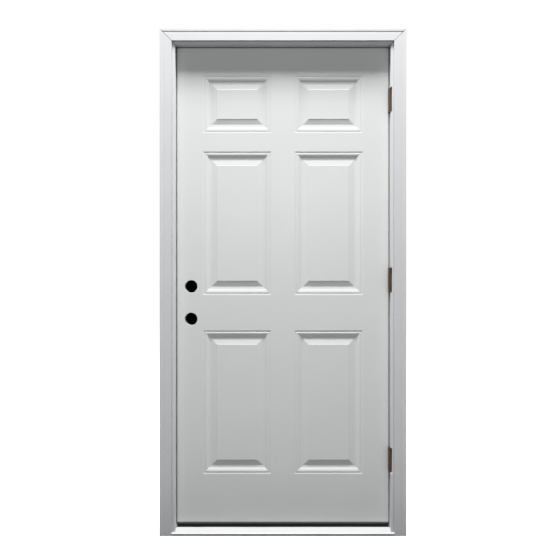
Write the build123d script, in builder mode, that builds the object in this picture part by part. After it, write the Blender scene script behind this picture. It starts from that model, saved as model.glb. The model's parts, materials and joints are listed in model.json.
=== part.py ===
from build123d import *
import os

# A prehung six-panel steel entrance door that opens outwards, in a rabbeted timber frame with
# brickmould casing, an aluminium sill, compression weatherstrip and three butt hinges.
# X runs to the right as seen from outside, Y into the building, Z up. The origin is the middle
# of the sill's underside, on the plane of the jambs' outside edges. Sizes are in millimetres.

# Slab
slab_width = 908.05          # 35 3/4 in
slab_height = 2032.0         # 80 in
slab_thickness = 44.45       # 1 3/4 in
slab_face = 1.0              # outside face, behind the jambs' outside edges
slab_bottom = 44.5           # underside, above the foot of the frame
skin_gauge = 0.76            # 22 gauge sheet
skin_return = 12.0           # hem folded round each stile's edge
stile_width = 44.0
top_rail_height = 38.0
bottom_rail_height = 64.0
lock_block_width = 60.0
lock_block_height = 380.0

# Pressed panels: two columns, three rows
stile_margin = 110.2         # slab's edge to panel
panel_width = 294.4
top_margin = 117.3
short_panel_height = 246.5
tall_panel_height = 616.5
frieze_margin = 78.9         # between the short and the tall panels
lock_rail_margin = 151.6     # between the two rows of tall panels

# Section of the pressed moulding, from the panel's outline inwards
quirk_width = 8.0
quirk_depth = 1.3
bead_width = 4.5
bead_depth = 0.4
bead_slope_width = 0.8
cove_width = 13.5
cove_depth = 5.2
cove_start_slope = 0.1       # where the cove leaves the bead
toe_width = 9.0
recess_depth = 6.3
valley_width = 2.0
bevel_width = 22.0
bevel_rise = 3.8
step_width = 2.0
field_depth = 1.3

# Lock preparation
backset = 60.325             # 2 3/8 in
cross_bore_radius = 26.9875  # 2 1/8 in bore
edge_bore_radius = 12.7      # 1 in bore
lock_height = 870.4          # lower bore, above the slab's underside
bore_spacing = 139.7         # 5 1/2 in from the lower bore to the upper one
faceplate_height = 57.15
faceplate_width = 25.4
faceplate_depth = 3.2
faceplate_corner = 6.35
strike_pocket_width = 28.6
strike_pocket_depth = 1.6
strike_bore_radius = 11.1125 # 7/8 in bore
strike_bore_depth = 15.0

# Frame
edge_gap = 3.175             # slab to jamb, sides and head
jamb_depth = 115.9           # 4 9/16 in
jamb_back = 19.05            # wood behind the rabbet face
stop_height = 12.7
rabbet_width = 57.15
stop_round = 1.6
kerf_width = 2.6
kerf_depth = 10.5
kerf_inset = 3.4             # from the rabbet face to the kerf
head_housing = 6.35          # head jamb let into each side jamb

# Brickmould: a fillet that covers the jamb's edge, a flat face, and a band that stands proud of it
fillet_width = 13.4
fillet_thickness = 25.2
mould_width = 50.8
mould_thickness = 31.75      # over the band
face_thickness = 30.0        # at the face's inner edge
face_fall = 1.0              # towards the band
band_width = 11.0
band_slope_width = 0.6
groove_width = 1.4           # groove at the band's foot
groove_depth = 0.6
nose_radius = 2.0
mould_edge_radius = 1.5
fillet_edge_radius = 0.8
back_relief_width = 30.0
back_relief_depth = 1.6
hinge_relief_radius = 7.0

# Sill
sill_wall = 1.8
nose_height = 12.0
sill_nose_radius = 2.5
tread_rise = 0.2             # rise for each unit of depth
ear_gap = 0.2                # behind the nose's ears
sill_end_gap = 0.2
bumper_gap = 6.8             # bumper's wall behind the slab's inside face
bumper_overlap = 12.7        # bumper's top above the slab's underside
bumper_depth = 12.0
bumper_round = 2.0
sill_back_height = 34.0
tread_groove_count = 4
tread_groove_pitch = 5.0
tread_groove_width = 1.6
tread_groove_depth = 0.6
first_groove = 9.0           # behind the nose

# Seals
seal_clearance = 0.3
strip_width = 9.6
strip_inset = 0.5            # from the rabbet face
strip_round = 3.2
tongue_slack = 0.25
tongue_length = 9.5
strip_end_gap = 0.4
sweep_plate = 3.2
sweep_inset = 2.4            # behind the slab's outside face
sweep_side_gap = 1.0
fin_thickness = 2.2
fin_spacing = 16.0
fin_count = 3
fin_clearance = 0.6
bulb_round = 2.4
bulb_height = 9.0
bulb_drop = 1.2              # below the bumper's top
bulb_tongue = 1.4
bulb_tongue_length = 4.0
bulb_channel_wall = 1.4
sweep_screw_count = 5
sweep_screw_length = 16.0
sweep_screw_head = 3.4
sweep_screw_shank = 1.7

# Hinges
hinge_height = 101.6         # 4 in
hinge_top_drop = 178.2       # slab's top to the top hinge's upper end
hinge_bottom_rise = 221.0    # slab's underside to the bottom hinge's lower end
leaf_thickness = 2.5
leaf_reach = 38.1            # how far the leaf runs back from the jamb's outside edge
leaf_corner = 15.875         # 5/8 in
mortise_fit = 0.15
pin_stand_off = 12.7         # pin's axis in front of the jamb's outside edge
knuckle_radius = 6.35
knuckle_count = 5
knuckle_gap = 0.3
pin_radius = 3.15
pin_clearance = 0.05
pin_head_radius = 5.6
pin_head_height = 2.0
pin_head_round = 1.2
leaf_screw_near = 10.5       # near row, behind the jamb's outside edge
leaf_screw_far = 25.5
leaf_screw_near_pitch = 73.0
leaf_screw_far_pitch = 44.0
leaf_screw_length = 16.5
leaf_screw_head = 4.2
screw_shank = 2.0
screw_fit = 0.1

# Screws through the jambs into the head jamb's ends and the sill's ends
corner_screw_radius = 2.2
corner_screw_head = 4.4
corner_screw_length = 50.0
head_screw_depths = [18.0, 52.0, 96.0]
sill_screw_depths = [30.0, 92.0]
sill_screw_height = 8.5

overrun = 1.0                # cutting shapes pass the faces that they open by this much

# Places worked out from the sizes above
slab_edge = slab_width / 2
slab_top = slab_bottom + slab_height
slab_inside = slab_face + slab_thickness
slab_middle = slab_face + slab_thickness / 2
core_face = slab_face + skin_gauge
core_inside = slab_inside - skin_gauge
stile_edge = slab_edge - skin_gauge
stile_inner = stile_edge - stile_width
jamb_face = slab_edge + edge_gap
jamb_outside = jamb_face + jamb_back
stop_face = jamb_face - stop_height
head_face = slab_top + edge_gap
head_outside = head_face + jamb_back
head_stop = head_face - stop_height
casing_inner = jamb_face + fillet_width
casing_outer = casing_inner + mould_width
casing_top = head_face + fillet_width + mould_width
bead_outer = quirk_width + bead_slope_width
bead_inner = quirk_width + bead_width
cove_inner = bead_inner + cove_width
toe_inner = cove_inner + toe_width
valley_inner = toe_inner + valley_width
bevel_inner = valley_inner + bevel_width
moulding_width = bevel_inner + step_width
bore_x = -slab_edge + backset
lower_bore_z = slab_bottom + lock_height
upper_bore_z = lower_bore_z + bore_spacing
lock_block_z = (lower_bore_z + upper_bore_z) / 2
pin_x = slab_edge + edge_gap / 2
pin_y = -pin_stand_off
top_hinge_z = slab_top - hinge_top_drop - hinge_height / 2
bottom_hinge_z = slab_bottom + hinge_bottom_rise + hinge_height / 2
hinge_places = {
    "top": top_hinge_z,
    "middle": (top_hinge_z + bottom_hinge_z) / 2,
    "bottom": bottom_hinge_z,
}
knuckle_height = (hinge_height - knuckle_gap * (knuckle_count - 1)) / knuckle_count
knuckle_pitch = knuckle_height + knuckle_gap
nose_y = -mould_thickness
ear_y = -fillet_thickness - ear_gap
bumper_y = slab_inside + bumper_gap
bumper_back = bumper_y + bumper_depth
bumper_top = slab_bottom + bumper_overlap
bumper_foot = nose_height + tread_rise * (bumper_y - nose_y)
strip_thickness = rabbet_width - slab_inside - seal_clearance
strip_foot = bumper_top + strip_end_gap
bulb_z = bumper_top - bulb_drop - bulb_height / 2
sweep_front = slab_face + sweep_inset
sweep_foot = slab_bottom - sweep_plate
sweep_half = slab_edge - sweep_side_gap

row_heights = [short_panel_height, tall_panel_height, tall_panel_height]
row_gaps = [top_margin, frieze_margin, lock_rail_margin]
panel_x = slab_edge - stile_margin - panel_width / 2
panels = []
row_top = slab_top
for row_gap, row_height in zip(row_gaps, row_heights):
    row_top -= row_gap
    panels += [(x, row_top - row_height / 2, row_height) for x in (-panel_x, panel_x)]
    row_top -= row_height

slab_mirror = Plane.XZ.offset(-slab_middle)
os.makedirs("parts", exist_ok=True)


def wall_plane(y):
    """A plane parallel to the wall at depth y: local x is X, local y is Z, and it faces outside."""
    return Plane.XZ.offset(-y)


def across_plane(x, z=0.0):
    """A plane that faces +X: local x is Y, local y is Z."""
    return Plane(origin=(x, 0, z), x_dir=(0, 1, 0), z_dir=(1, 0, 0))


def tread_height(y):
    """Height of the sill's sloping tread at depth y."""
    return nose_height + tread_rise * (y - nose_y)


def save(piece, name):
    piece.part.label = name
    export_step(piece.part, f"parts/{name}.step")


def box(low, high, mode=Mode.ADD):
    """A box between two corners."""
    size = [b - a for a, b in zip(low, high)]
    middle = [(a + b) / 2 for a, b in zip(low, high)]
    with Locations(tuple(middle)):
        Box(*size, mode=mode)


# Screws: flat heads lie on the planes, and the shanks follow the planes' normals
def make_screws(planes, length, head, shank, slack=0.0):
    """Countersunk screws, or with slack the holes that take them."""
    with BuildPart() as screws:
        for plane in planes:
            with BuildSketch(plane):
                Circle(head + slack)
            with BuildSketch(plane.offset(head - shank)):
                Circle(shank + slack)
            loft()
            with BuildSketch(plane.offset(head - shank)):
                Circle(shank + slack)
            extrude(amount=length - head + shank + slack)
    return screws


def leaf_screw_planes(x, direction):
    rows = [(leaf_screw_near, leaf_screw_near_pitch), (leaf_screw_far, leaf_screw_far_pitch)]
    return [
        Plane(origin=(x, y, hinge_z + side * pitch / 2), x_dir=(0, 1, 0), z_dir=(direction, 0, 0))
        for hinge_z in hinge_places.values()
        for y, pitch in rows
        for side in (-1, 1)
    ]


def corner_screw_planes(z, depths):
    return [
        Plane(origin=(side * jamb_outside, y, z), x_dir=(0, 1, 0), z_dir=(-side, 0, 0))
        for side in (-1, 1)
        for y in depths
    ]


frame_screw_planes = leaf_screw_planes(jamb_face, 1)
door_screw_planes = leaf_screw_planes(slab_edge, -1)
head_screw_planes = corner_screw_planes(head_face + jamb_back / 2, head_screw_depths)
sill_screw_planes = corner_screw_planes(sill_screw_height, sill_screw_depths)
leaf_screw_sizes = (leaf_screw_length, leaf_screw_head, screw_shank)
corner_screw_sizes = (corner_screw_length, corner_screw_head, corner_screw_radius)

frame_leaf_screws = make_screws(frame_screw_planes, *leaf_screw_sizes)
door_leaf_screws = make_screws(door_screw_planes, *leaf_screw_sizes)
head_corner_screws = make_screws(head_screw_planes, *corner_screw_sizes)
sill_screws = make_screws(sill_screw_planes, *corner_screw_sizes)
frame_screw_holes = make_screws(frame_screw_planes, *leaf_screw_sizes, screw_fit)
door_screw_holes = make_screws(door_screw_planes, *leaf_screw_sizes, screw_fit)
head_screw_holes = make_screws(head_screw_planes, *corner_screw_sizes, screw_fit)
sill_screw_holes = make_screws(sill_screw_planes, *corner_screw_sizes, screw_fit)

save(frame_leaf_screws, "frame_leaf_screws")
save(door_leaf_screws, "door_leaf_screws")
save(head_corner_screws, "head_corner_screws")
save(sill_screws, "sill_screws")


# Hinge leaves: a flat plate let into the timber, and its share of the knuckles round the pin
def leaf_outline(slack):
    """Side view of a leaf, local x is Y and local y is Z: square at the knuckles, round behind."""
    front = pin_y - slack
    back = leaf_reach + slack
    half = hinge_height / 2 + slack
    with BuildSketch() as outline:
        with Locations(((front + back) / 2, 0)):
            Rectangle(back - front, 2 * half)
        fillet(outline.vertices().group_by(Axis.X)[-1], leaf_corner)
    return outline.sketch


def hinge_tool(x_low, x_high, slack):
    """The space of the three leaves between two planes of X."""
    with BuildPart() as tool:
        for hinge_z in hinge_places.values():
            with BuildSketch(across_plane(x_low, hinge_z)):
                add(leaf_outline(slack))
            extrude(amount=x_high - x_low)
    return tool


def make_leaf(hinge_z, x_low, own_knuckles):
    """One leaf and its knuckles, cut back where the other leaf's knuckles turn."""
    foot = hinge_z - hinge_height / 2
    with BuildPart() as leaf:
        with BuildSketch(across_plane(x_low, hinge_z)):
            add(leaf_outline(0))
        extrude(amount=leaf_thickness)
        for knuckle in range(knuckle_count):
            base = Plane(origin=(pin_x, pin_y, foot + knuckle * knuckle_pitch))
            if knuckle in own_knuckles:
                with BuildSketch(base):
                    Circle(knuckle_radius)
                extrude(amount=knuckle_height)
            else:
                with BuildSketch(base.offset(-knuckle_gap)):
                    Circle(knuckle_radius + knuckle_gap)
                extrude(amount=knuckle_height + 2 * knuckle_gap, mode=Mode.SUBTRACT)
        with BuildSketch(Plane(origin=(pin_x, pin_y, foot))):
            Circle(pin_radius + pin_clearance)
        extrude(amount=hinge_height, mode=Mode.SUBTRACT)
    return leaf


frame_knuckles = range(0, knuckle_count, 2)
door_knuckles = range(1, knuckle_count, 2)
for place, hinge_z in hinge_places.items():
    with BuildPart() as frame_leaf:
        add(make_leaf(hinge_z, jamb_face, frame_knuckles).part)
        add(frame_screw_holes.part, mode=Mode.SUBTRACT)
    save(frame_leaf, f"hinge_{place}_frame_leaf")

    with BuildPart() as door_leaf:
        add(make_leaf(hinge_z, slab_edge - leaf_thickness, door_knuckles).part)
        add(door_screw_holes.part, mode=Mode.SUBTRACT)
    save(door_leaf, f"hinge_{place}_door_leaf")

    # Pin with a flat button at each end
    with BuildPart() as pin:
        with BuildSketch(Plane(origin=(pin_x, pin_y, hinge_z - hinge_height / 2))):
            Circle(pin_radius)
        extrude(amount=hinge_height)
        for side in (-1, 1):
            end = Plane(origin=(pin_x, pin_y, hinge_z + side * hinge_height / 2), z_dir=(0, 0, side))
            with BuildSketch(end):
                Circle(pin_head_radius)
            extrude(amount=pin_head_height)
        rims = pin.edges().filter_by(GeomType.CIRCLE).sort_by(Axis.Z)
        fillet([rims[0], rims[-1]], pin_head_round)
    save(pin, f"hinge_{place}_pin")

frame_mortises = hinge_tool(jamb_face - overrun, jamb_face + leaf_thickness, mortise_fit)
door_mortises = hinge_tool(slab_edge - leaf_thickness, slab_edge + overrun, mortise_fit)


# Jambs: local x runs from the rabbet face to the wall, local y into the building
def jamb_section():
    with BuildSketch() as section:
        with BuildLine():
            Polyline(
                (0, 0),
                (jamb_back, 0),
                (jamb_back, jamb_depth),
                (-stop_height, jamb_depth),
                (-stop_height, rabbet_width),
                (0, rabbet_width),
                close=True,
            )
        make_face()
        fillet(section.vertices().group_by(Axis.X)[0], stop_round)
        with Locations((-kerf_inset - kerf_width / 2, rabbet_width + kerf_depth / 2)):
            Rectangle(kerf_width, kerf_depth, mode=Mode.SUBTRACT)
    return section.sketch


def bore_plane(x, z, direction):
    """Plane of a lock bore in the edge of the slab or of the jamb."""
    return Plane(origin=(x, slab_middle, z), x_dir=(0, 1, 0), z_dir=(direction, 0, 0))


with BuildPart() as hinge_jamb:
    with BuildSketch(Plane(origin=(jamb_face, 0, 0))):
        add(jamb_section())
    extrude(amount=head_outside)
    # Housing for the head jamb, and the stop cut short under the head's stop
    housing_low = (0, -overrun, head_face)
    housing_high = (jamb_face + head_housing, jamb_depth + overrun, head_outside + overrun)
    box(housing_low, housing_high, Mode.SUBTRACT)
    box((0, rabbet_width, head_stop), (jamb_face, jamb_depth + overrun, head_face), Mode.SUBTRACT)
    mirrored_blank = mirror(hinge_jamb.part, about=Plane.YZ, mode=Mode.PRIVATE)
    add(frame_mortises.part, mode=Mode.SUBTRACT)
    add(frame_screw_holes.part, mode=Mode.SUBTRACT)
    add(head_screw_holes.part, mode=Mode.SUBTRACT)
    add(sill_screw_holes.part, mode=Mode.SUBTRACT)
save(hinge_jamb, "hinge_jamb")

with BuildPart() as strike_jamb:
    add(mirrored_blank)
    add(head_screw_holes.part, mode=Mode.SUBTRACT)
    add(sill_screw_holes.part, mode=Mode.SUBTRACT)
    for z in (lower_bore_z, upper_bore_z):
        with BuildSketch(bore_plane(-jamb_face, z, -1)):
            RectangleRounded(strike_pocket_width, faceplate_height, faceplate_corner)
        extrude(amount=strike_pocket_depth, mode=Mode.SUBTRACT)
        with BuildSketch(bore_plane(-jamb_face, z, -1)):
            Circle(strike_bore_radius)
        extrude(amount=strike_bore_depth, mode=Mode.SUBTRACT)
save(strike_jamb, "strike_jamb")

head_half = jamb_face + head_housing
with BuildPart() as head_jamb:
    with BuildSketch(Plane(origin=(head_half, 0, head_face), x_dir=(0, 0, 1), z_dir=(-1, 0, 0))):
        add(jamb_section())
    extrude(amount=2 * head_half)
    for side in (-1, 1):
        tenon = sorted((side * jamb_face, side * (head_half + overrun)))
        tenon_low = (tenon[0], -overrun, head_stop - overrun)
        box(tenon_low, (tenon[1], jamb_depth + overrun, head_face), Mode.SUBTRACT)
    add(head_screw_holes.part, mode=Mode.SUBTRACT)
save(head_jamb, "head_jamb")


# Brickmould: local x runs from the opening to the wall, local y towards the outside
def casing_section():
    with BuildSketch() as section:
        with BuildLine():
            inner = fillet_width
            outer = fillet_width + mould_width
            band_start = outer - band_width
            groove_end = band_start - band_slope_width
            face_level = face_thickness - face_fall
            Polyline(
                (0, 0),
                (0, fillet_thickness),
                (inner, fillet_thickness),
                (inner, face_thickness),
                (groove_end - groove_width, face_level),
                (groove_end, face_level - groove_depth),
                (band_start, mould_thickness),
                (outer, mould_thickness),
                (outer, 0),
                close=True,
            )
        make_face()
        corners = section.vertices()
        fillet(corners.sort_by_distance((inner, face_thickness))[0], nose_radius)
        fillet(section.vertices().sort_by_distance((outer, mould_thickness))[0], mould_edge_radius)
        fillet(section.vertices().sort_by_distance((0, fillet_thickness))[0], fillet_edge_radius)
        with Locations((inner + mould_width / 2, back_relief_depth / 2)):
            Rectangle(back_relief_width, back_relief_depth, mode=Mode.SUBTRACT)
    return section.sketch


# The space above a leg's mitre, which starts at the corner of the opening
with BuildPart() as leg_miter:
    miter_low = jamb_face - overrun
    with BuildSketch(wall_plane(overrun)):
        with BuildLine():
            Polyline(
                (miter_low, head_face - overrun),
                (jamb_face + casing_outer, head_face + casing_outer),
                (miter_low, head_face + casing_outer),
                close=True,
            )
        make_face()
    extrude(amount=mould_thickness + 2 * overrun)

with BuildPart() as brickmould_hinge_side:
    with BuildSketch(Plane(origin=(jamb_face, 0, 0), x_dir=(1, 0, 0), z_dir=(0, 0, -1))):
        add(casing_section())
    extrude(amount=-casing_top)
    add(leg_miter.part, mode=Mode.SUBTRACT)
    leg_blank = mirror(brickmould_hinge_side.part, about=Plane.YZ, mode=Mode.PRIVATE)
    # Reliefs for the knuckles and for the leaf where it passes the fillet
    relief_height = hinge_height + 2 * pin_head_height + 2 * knuckle_gap
    for hinge_z in hinge_places.values():
        with BuildSketch(Plane(origin=(pin_x, pin_y, hinge_z - relief_height / 2))):
            Circle(hinge_relief_radius)
            with Locations((0, pin_stand_off / 2)):
                Rectangle(2 * hinge_relief_radius, pin_stand_off)
        extrude(amount=relief_height, mode=Mode.SUBTRACT)
save(brickmould_hinge_side, "brickmould_hinge_side")

with BuildPart() as brickmould_strike_side:
    add(leg_blank)
save(brickmould_strike_side, "brickmould_strike_side")

with BuildPart() as brickmould_head:
    head_origin = (-casing_outer, 0, head_face)
    with BuildSketch(Plane(origin=head_origin, x_dir=(0, 0, 1), z_dir=(1, 0, 0))):
        add(casing_section())
    extrude(amount=2 * casing_outer)
    miter_line = [(jamb_face, head_face), (casing_outer, casing_top), (casing_outer, head_face)]
    for side in (-1, 1):
        with BuildSketch(wall_plane(overrun)):
            with BuildLine():
                Polyline(*[(side * x, z) for x, z in miter_line], close=True)
            make_face()
        extrude(amount=mould_thickness + 2 * overrun, mode=Mode.SUBTRACT)
save(brickmould_head, "brickmould_head")


# Sill: local x is Y and local y is Z
def sill_outline():
    """Outside of the extruded deck: sloping tread, bumper and level back."""
    with BuildSketch() as outline:
        with BuildLine():
            Polyline(
                (nose_y, 0),
                (nose_y, nose_height),
                (bumper_y, bumper_foot),
                (bumper_y, bumper_top),
                (bumper_back, bumper_top),
                (bumper_back, sill_back_height),
                (jamb_depth, sill_back_height),
                (jamb_depth, 0),
                close=True,
            )
        make_face()
        fillet(outline.vertices().sort_by_distance((nose_y, nose_height))[0], sill_nose_radius)
        fillet(outline.vertices().group_by(Axis.Y)[-1], bumper_round)
    return outline.sketch


def trim_sill_ends(clearance):
    """Copes the ends to the fillets, the jambs and the stops, and leaves the nose's ears."""
    for side in (-1, 1):
        for y, x in ((ear_y, jamb_face), (rabbet_width - clearance, stop_face)):
            ends = sorted((side * (x - clearance), side * (casing_outer + overrun)))
            trim_high = (ends[1], jamb_depth + overrun, bumper_top + overrun)
            box((ends[0], y, -overrun), trim_high, Mode.SUBTRACT)


with BuildPart() as sill_deck:
    with BuildSketch(across_plane(-casing_inner + sill_end_gap)):
        add(sill_outline())
    extrude(amount=2 * (casing_inner - sill_end_gap))
    # Hollow under the tread, open below, and inside the bumper
    with BuildSketch(across_plane(-casing_outer)):
        with BuildLine():
            Polyline(
                (nose_y + sill_wall, 0),
                (nose_y + sill_wall, nose_height - sill_wall),
                (bumper_y + sill_wall, bumper_foot - sill_wall),
                (bumper_y + sill_wall, bumper_top - sill_wall),
                (bumper_back - sill_wall, bumper_top - sill_wall),
                (bumper_back - sill_wall, sill_back_height - sill_wall),
                (jamb_depth - sill_wall, sill_back_height - sill_wall),
                (jamb_depth - sill_wall, 0),
                close=True,
            )
        make_face()
    extrude(amount=2 * casing_outer, mode=Mode.SUBTRACT)
    # Slip-resistant grooves along the tread
    for groove in range(tread_groove_count):
        y = nose_y + first_groove + groove * tread_groove_pitch
        with BuildSketch(across_plane(-casing_outer)):
            with Locations((y, tread_height(y))):
                Rectangle(tread_groove_width, 2 * tread_groove_depth)
        extrude(amount=2 * casing_outer, mode=Mode.SUBTRACT)
    # Channel inside the bumper for the bulb's tongue
    channel_half = bulb_tongue / 2 + bulb_channel_wall
    channel_back = bumper_y + bulb_tongue_length + bulb_channel_wall
    channel_end = casing_inner - sill_end_gap
    box((-channel_end, bumper_y, bulb_z - channel_half), (channel_end, channel_back, bulb_z + channel_half))
    box(
        (-casing_outer, bumper_y - overrun, bulb_z - bulb_tongue / 2),
        (casing_outer, bumper_y + bulb_tongue_length, bulb_z + bulb_tongue / 2),
        Mode.SUBTRACT,
    )
    trim_sill_ends(sill_end_gap)
save(sill_deck, "sill_deck")

# Composite core under the tread; the bumper above it stays hollow
with BuildPart() as sill_base:
    with BuildSketch(across_plane(-jamb_face + sill_end_gap)):
        with BuildLine():
            Polyline(
                (nose_y + sill_wall, 0),
                (nose_y + sill_wall, nose_height - sill_wall),
                (bumper_y + sill_wall, bumper_foot - sill_wall),
                (bumper_back - sill_wall, sill_back_height - sill_wall),
                (jamb_depth - sill_wall, sill_back_height - sill_wall),
                (jamb_depth - sill_wall, 0),
                close=True,
            )
        make_face()
    extrude(amount=2 * (jamb_face - sill_end_gap))
    trim_sill_ends(sill_end_gap)
    add(sill_screw_holes.part, mode=Mode.SUBTRACT)
save(sill_base, "sill_base")

# Bulb along the bumper, held by a tongue in a slot
with BuildPart() as sill_bumper_seal:
    with BuildSketch(across_plane(-jamb_face + strip_inset)) as bulb:
        bulb_thickness = bumper_gap - seal_clearance
        with Locations((bumper_y - bulb_thickness / 2, bulb_z)):
            Rectangle(bulb_thickness, bulb_height)
        fillet(bulb.vertices().group_by(Axis.Y)[0], bulb_round)
        with Locations((bumper_y + bulb_tongue_length / 2, bulb_z)):
            Rectangle(bulb_tongue_length, bulb_tongue)
    extrude(amount=2 * (jamb_face - strip_inset))
save(sill_bumper_seal, "sill_bumper_seal")


# Compression strips: a foam pad on the stop's face, with a tongue in the kerf
def strip_pad():
    with BuildSketch() as pad:
        with Locations((-strip_inset - strip_width / 2, rabbet_width - strip_thickness / 2)):
            Rectangle(strip_width, strip_thickness)
        fillet(pad.vertices().group_by(Axis.Y)[0], strip_round)
    return pad.sketch


def strip_tongue():
    with BuildSketch() as tongue:
        with Locations((-kerf_inset - kerf_width / 2, rabbet_width + tongue_length / 2)):
            Rectangle(kerf_width - 2 * tongue_slack, tongue_length)
    return tongue.sketch


with BuildPart() as weatherstrip_hinge_side:
    foot = Plane(origin=(jamb_face, 0, strip_foot))
    with BuildSketch(foot):
        add(strip_pad())
    extrude(amount=head_face - strip_inset - strip_width - strip_end_gap - strip_foot)
    with BuildSketch(foot):
        add(strip_tongue())
    extrude(amount=head_stop - strip_end_gap - strip_foot)
save(weatherstrip_hinge_side, "weatherstrip_hinge_side")

with BuildPart() as weatherstrip_strike_side:
    mirror(weatherstrip_hinge_side.part, about=Plane.YZ)
save(weatherstrip_strike_side, "weatherstrip_strike_side")

with BuildPart() as weatherstrip_head:
    head_strip_origin = (jamb_face - strip_inset, 0, head_face)
    with BuildSketch(Plane(origin=head_strip_origin, x_dir=(0, 0, 1), z_dir=(-1, 0, 0))):
        add(strip_pad())
        add(strip_tongue())
    extrude(amount=2 * (jamb_face - strip_inset))
save(weatherstrip_head, "weatherstrip_head")


# Door sweep: a plate under the slab with fins that nearly reach the tread
sweep_screw_pitch = 2 * sweep_half / sweep_screw_count
last_fins_middle = (fin_count - 1.5) * fin_spacing
sweep_screw_y = sweep_front + fin_thickness + last_fins_middle
sweep_screw_planes = [
    Plane(origin=((n - (sweep_screw_count - 1) / 2) * sweep_screw_pitch, sweep_screw_y, sweep_foot))
    for n in range(sweep_screw_count)
]
sweep_screw_sizes = (sweep_screw_length, sweep_screw_head, sweep_screw_shank)
sweep_screws = make_screws(sweep_screw_planes, *sweep_screw_sizes)
sweep_screw_holes = make_screws(sweep_screw_planes, *sweep_screw_sizes, screw_fit)
save(sweep_screws, "sweep_screws")

with BuildPart() as door_sweep:
    box(
        (-sweep_half, sweep_front, sweep_foot),
        (sweep_half, slab_inside - sweep_inset, slab_bottom),
    )
    for fin in range(fin_count):
        y = sweep_front + fin * fin_spacing
        tip = tread_height(y) + fin_clearance
        with BuildSketch(across_plane(-sweep_half)):
            with BuildLine():
                Polyline(
                    (y, sweep_foot),
                    (y + fin_thickness, sweep_foot),
                    (y + fin_thickness / 2, tip),
                    (y, tip),
                    close=True,
                )
            make_face()
        extrude(amount=2 * sweep_half)
    add(sweep_screw_holes.part, mode=Mode.SUBTRACT)
save(door_sweep, "door_sweep")


# Slab: holes that the lock needs, through whichever pieces they meet
with BuildPart() as lock_prep:
    for z in (lower_bore_z, upper_bore_z):
        with BuildSketch(wall_plane(slab_inside + overrun)):
            with Locations((bore_x, z)):
                Circle(cross_bore_radius)
        extrude(amount=slab_thickness + 2 * overrun)
        with BuildSketch(bore_plane(-slab_edge, z, 1)):
            Circle(edge_bore_radius)
        extrude(amount=backset)
        with BuildSketch(bore_plane(-slab_edge, z, 1)):
            RectangleRounded(faceplate_width, faceplate_height, faceplate_corner)
        extrude(amount=faceplate_depth)

with BuildPart() as hinge_stile:
    box((stile_inner, core_face, slab_bottom), (stile_edge, core_inside, slab_top))
    stile_blank = mirror(hinge_stile.part, about=Plane.YZ, mode=Mode.PRIVATE)
    add(door_mortises.part, mode=Mode.SUBTRACT)
    add(door_screw_holes.part, mode=Mode.SUBTRACT)
save(hinge_stile, "hinge_stile")

with BuildPart() as lock_stile:
    add(stile_blank)
    add(lock_prep.part, mode=Mode.SUBTRACT)
save(lock_stile, "lock_stile")

with BuildPart() as lock_block:
    block_low = (-stile_inner, core_face, lock_block_z - lock_block_height / 2)
    block_high = (-stile_inner + lock_block_width, core_inside, lock_block_z + lock_block_height / 2)
    box(block_low, block_high)
    add(lock_prep.part, mode=Mode.SUBTRACT)
save(lock_block, "lock_block")

with BuildPart() as top_rail:
    box((-stile_inner, core_face, slab_top - top_rail_height), (stile_inner, core_inside, slab_top))
save(top_rail, "top_rail")

with BuildPart() as bottom_rail:
    box((-stile_inner, core_face, slab_bottom), (stile_inner, core_inside, slab_bottom + bottom_rail_height))
    add(sweep_screw_holes.part, mode=Mode.SUBTRACT)
save(bottom_rail, "bottom_rail")


# Pressed panels: the moulding's section is swept round each panel, with mitred corners
def make_pressing(height):
    """What a panel takes out of a face that lies at y = 0, centred on the origin."""
    left = -panel_width / 2
    top = height / 2
    with BuildPart() as pressing:
        with BuildSketch(Plane(origin=(left, 0, 0), x_dir=(1, 0, 0), z_dir=(0, 0, 1))):
            with BuildLine():
                Line((0, 0), (quirk_width, quirk_depth))
                Line((quirk_width, quirk_depth), (bead_outer, bead_depth))
                Line((bead_outer, bead_depth), (bead_inner, bead_depth))
                TangentArc((bead_inner, bead_depth), (cove_inner, cove_depth), tangent=(1, cove_start_slope))
                Polyline(
                    (cove_inner, cove_depth),
                    (toe_inner, recess_depth),
                    (valley_inner, recess_depth),
                    (bevel_inner, recess_depth - bevel_rise),
                    (moulding_width, field_depth),
                    (moulding_width, 0),
                    (0, 0),
                )
            make_face()
        with BuildLine(Plane.XZ) as outline:
            Polyline((left, 0), (left, top), (-left, top), (-left, -top), (left, -top), (left, 0))
        sweep(path=outline.line, transition=Transition.RIGHT)
        box(
            (left + moulding_width, 0, -top + moulding_width),
            (-left - moulding_width, field_depth, top - moulding_width),
        )
    return pressing


pressings = {height: make_pressing(height) for height in sorted(set(row_heights))}


def press_panels(y, mode):
    """Every panel's pressing, from a face at depth y inwards."""
    for x, z, height in panels:
        with Locations((x, y, z)):
            add(pressings[height].part, mode=mode)


with BuildPart() as exterior_skin:
    box((-slab_edge, slab_face, slab_bottom), (slab_edge, core_face, slab_top))
    for side in (-1, 1):
        hem = sorted((side * stile_edge, side * slab_edge))
        box((hem[0], slab_face, slab_bottom), (hem[1], slab_face + skin_return, slab_top))
    press_panels(core_face, Mode.ADD)
    press_panels(slab_face, Mode.SUBTRACT)
    skin_blank = mirror(exterior_skin.part, about=slab_mirror, mode=Mode.PRIVATE)
    add(lock_prep.part, mode=Mode.SUBTRACT)
    add(door_mortises.part, mode=Mode.SUBTRACT)
save(exterior_skin, "exterior_skin")

with BuildPart() as interior_skin:
    add(skin_blank)
    add(lock_prep.part, mode=Mode.SUBTRACT)
    add(door_mortises.part, mode=Mode.SUBTRACT)
save(interior_skin, "interior_skin")

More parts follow.
